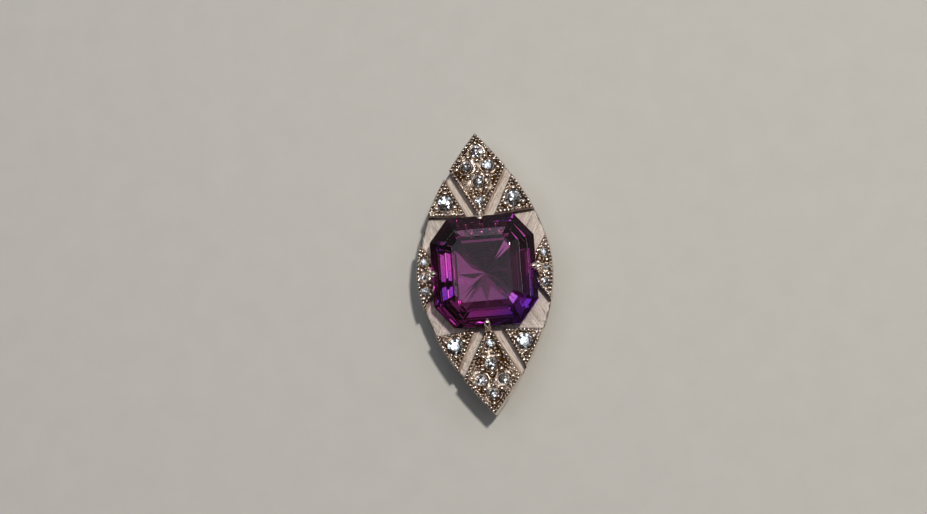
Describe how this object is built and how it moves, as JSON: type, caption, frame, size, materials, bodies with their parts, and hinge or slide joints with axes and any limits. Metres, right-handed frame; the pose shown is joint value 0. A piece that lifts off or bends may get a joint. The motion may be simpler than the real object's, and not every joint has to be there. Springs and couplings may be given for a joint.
{
  "type": "brooch",
  "caption": "Pointed-oval brooch: a step-cut purple stone in claws, bead-set stone panels with milled edges, and a hinged pin with a turning safety catch behind.",
  "frame": {"origin": "middle of the brooch in length and width, on the surface that it lies on, face up", "axes": "+Y from the middle to the upper tip, on the hinge's side; +Z out of the front; +X to the right, seen from the front"},
  "size_m": [0.0144, 0.03, 0.0069],
  "materials": {
    "bright_metal": "bright-cut precious white metal with milled bead edges",
    "satin_metal": "satin floors brushed lengthwise, polished rim",
    "back_metal": "plain polish with fine wear",
    "pin_wire": "hard drawn wire, polished",
    "amethyst": "polished step-cut purple quartz",
    "diamond": "polished single-cut clear stone"
  },
  "bodies": {
    "brooch": {"base_plate": "satin_metal", "back_frame": "back_metal", "kite_panel_top": "bright_metal", "kite_panel_bottom": "bright_metal", "triangle_panel_top_right": "bright_metal", "triangle_panel_top_left": "bright_metal", "triangle_panel_bottom_right": "bright_metal", "triangle_panel_bottom_left": "bright_metal", "side_panel_right": "bright_metal", "side_panel_left": "bright_metal", "amethyst": "amethyst", "amethyst_collet": "back_metal", "claw_top": "bright_metal", "claw_bottom": "bright_metal", "claw_right": "bright_metal", "claw_left": "bright_metal", "hinge_bracket": "back_metal", "hinge_rivet": "back_metal", "catch_housing": "back_metal", "diamond_01": "diamond", "diamond_02": "diamond", "diamond_03": "diamond", "diamond_04": "diamond", "diamond_05": "diamond", "diamond_06": "diamond", "diamond_07": "diamond", "diamond_08": "diamond", "diamond_09": "diamond", "diamond_10": "diamond", "diamond_11": "diamond", "diamond_12": "diamond", "diamond_13": "diamond", "diamond_14": "diamond", "diamond_15": "diamond", "diamond_16": "diamond", "diamond_17": "diamond", "diamond_18": "diamond", "diamond_19": "diamond", "diamond_20": "diamond"},
    "pin": {"pin_stem": "pin_wire"},
    "safety_catch": {"catch_rotor": "back_metal"}
  },
  "joints": [
    {"name": "pin_swing", "type": "hinge", "parent": "brooch", "child": "pin", "pos_m": [0, 0.0092, 0.0012], "axis": [1, 0, 0], "range_deg": [0, 90]},
    {"name": "catch_turn", "type": "hinge", "parent": "brooch", "child": "safety_catch", "pos_m": [0, -0.0086, 0.0012], "axis": [0, 1, 0], "range_deg": [0, 180]}
  ]
}
